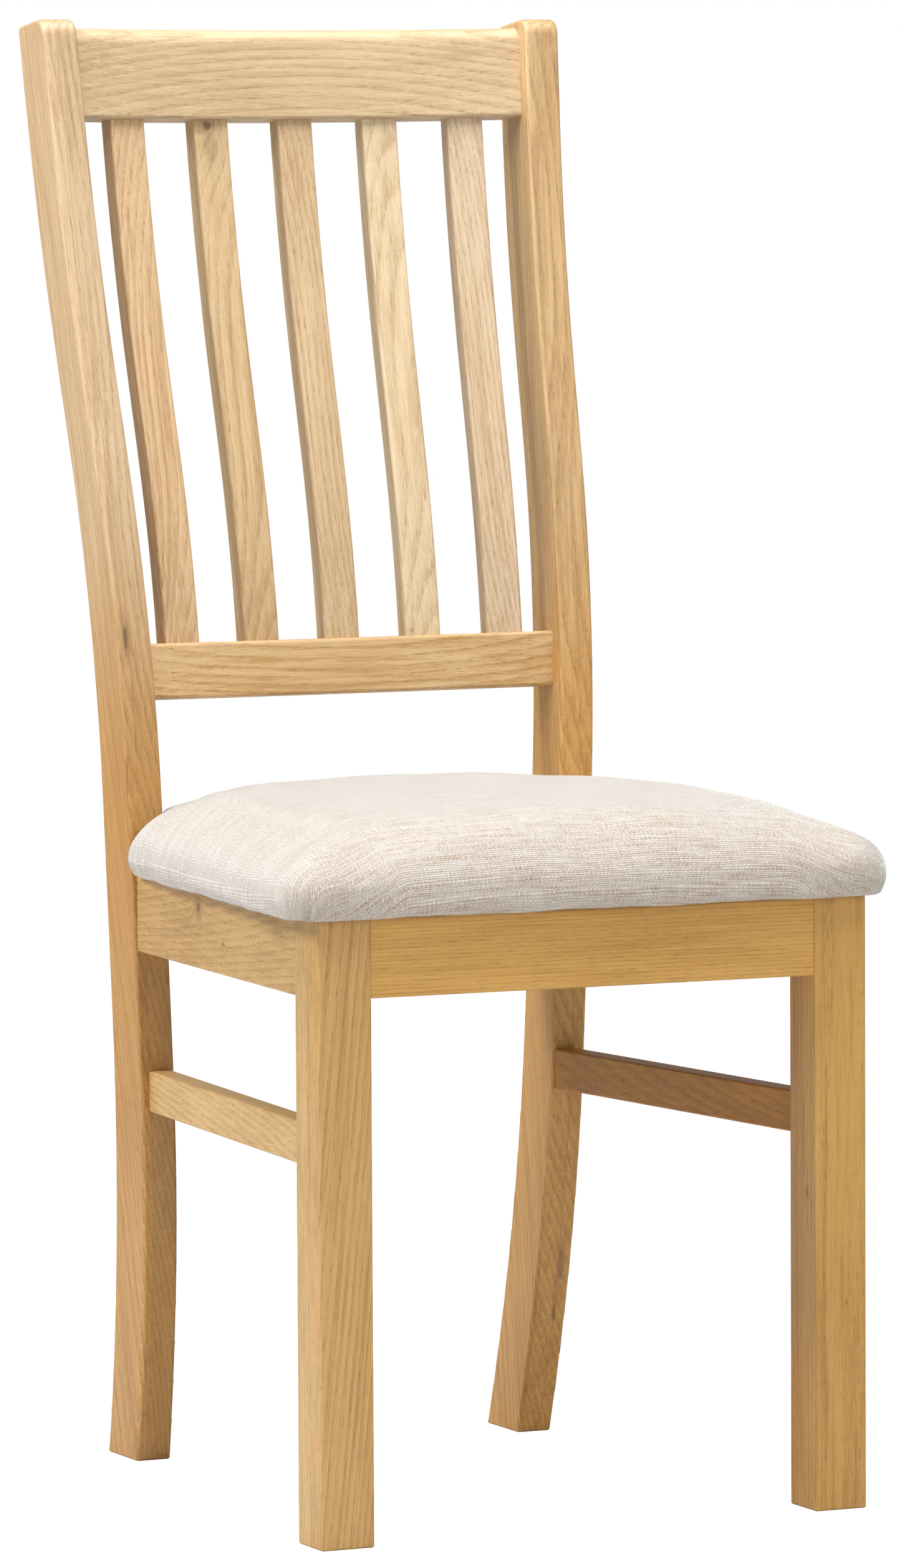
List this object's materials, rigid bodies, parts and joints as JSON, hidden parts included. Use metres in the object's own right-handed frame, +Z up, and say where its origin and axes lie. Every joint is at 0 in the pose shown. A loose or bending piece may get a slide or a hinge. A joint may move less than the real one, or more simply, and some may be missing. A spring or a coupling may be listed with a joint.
{
  "type": "dining chair",
  "caption": "Slat-back oak dining chair: straight front legs, curved back posts, bowed back rails with vertical slats, side stretchers and a padded fabric seat.",
  "frame": {"origin": "on the floor, in the middle of the chair's width and depth", "axes": "+Z up, the sitter faces -Y, +X to the sitter's left"},
  "size_m": [0.4514, 0.5489, 1.0502],
  "materials": {
    "oak": "clear satin lacquer over solid oak",
    "block_wood": "planed, unfinished",
    "dowel_wood": "turned beech, unfinished",
    "plywood": "sanded birch plywood",
    "screw_steel": "yellow zinc plated",
    "staple_steel": "galvanised wire",
    "foam": "open-cell polyurethane foam",
    "wadding": "polyester fibre wadding",
    "seat_fabric": "oatmeal plain-weave upholstery cloth with slubs",
    "dust_cloth": "black non-woven polypropylene"
  },
  "bodies": {
    "root": {"front_leg_left": "oak", "front_leg_right": "oak", "back_post_left": "oak", "back_post_right": "oak", "front_apron": "oak", "rear_apron": "oak", "side_apron_left": "oak", "side_apron_right": "oak", "side_stretcher_left": "oak", "side_stretcher_right": "oak", "lower_back_rail": "oak", "top_rail": "oak", "back_slat_1": "oak", "back_slat_2": "oak", "back_slat_3": "oak", "back_slat_4": "oak", "back_slat_5": "oak", "corner_block_front_left": "block_wood", "corner_block_front_right": "block_wood", "corner_block_rear_left": "block_wood", "corner_block_rear_right": "block_wood", "front_apron_dowels": "dowel_wood", "rear_apron_dowels": "dowel_wood", "side_apron_dowels": "dowel_wood", "lower_rail_dowels": "dowel_wood", "top_rail_dowels": "dowel_wood", "corner_block_screws": "screw_steel", "seat_fixing_screws": "screw_steel", "seat_board": "plywood", "seat_foam": "foam", "seat_wadding": "wadding", "seat_cover": "seat_fabric", "cover_staples": "staple_steel", "dust_cloth": "dust_cloth", "dust_cloth_staples": "staple_steel"}
  },
  "joints": []
}
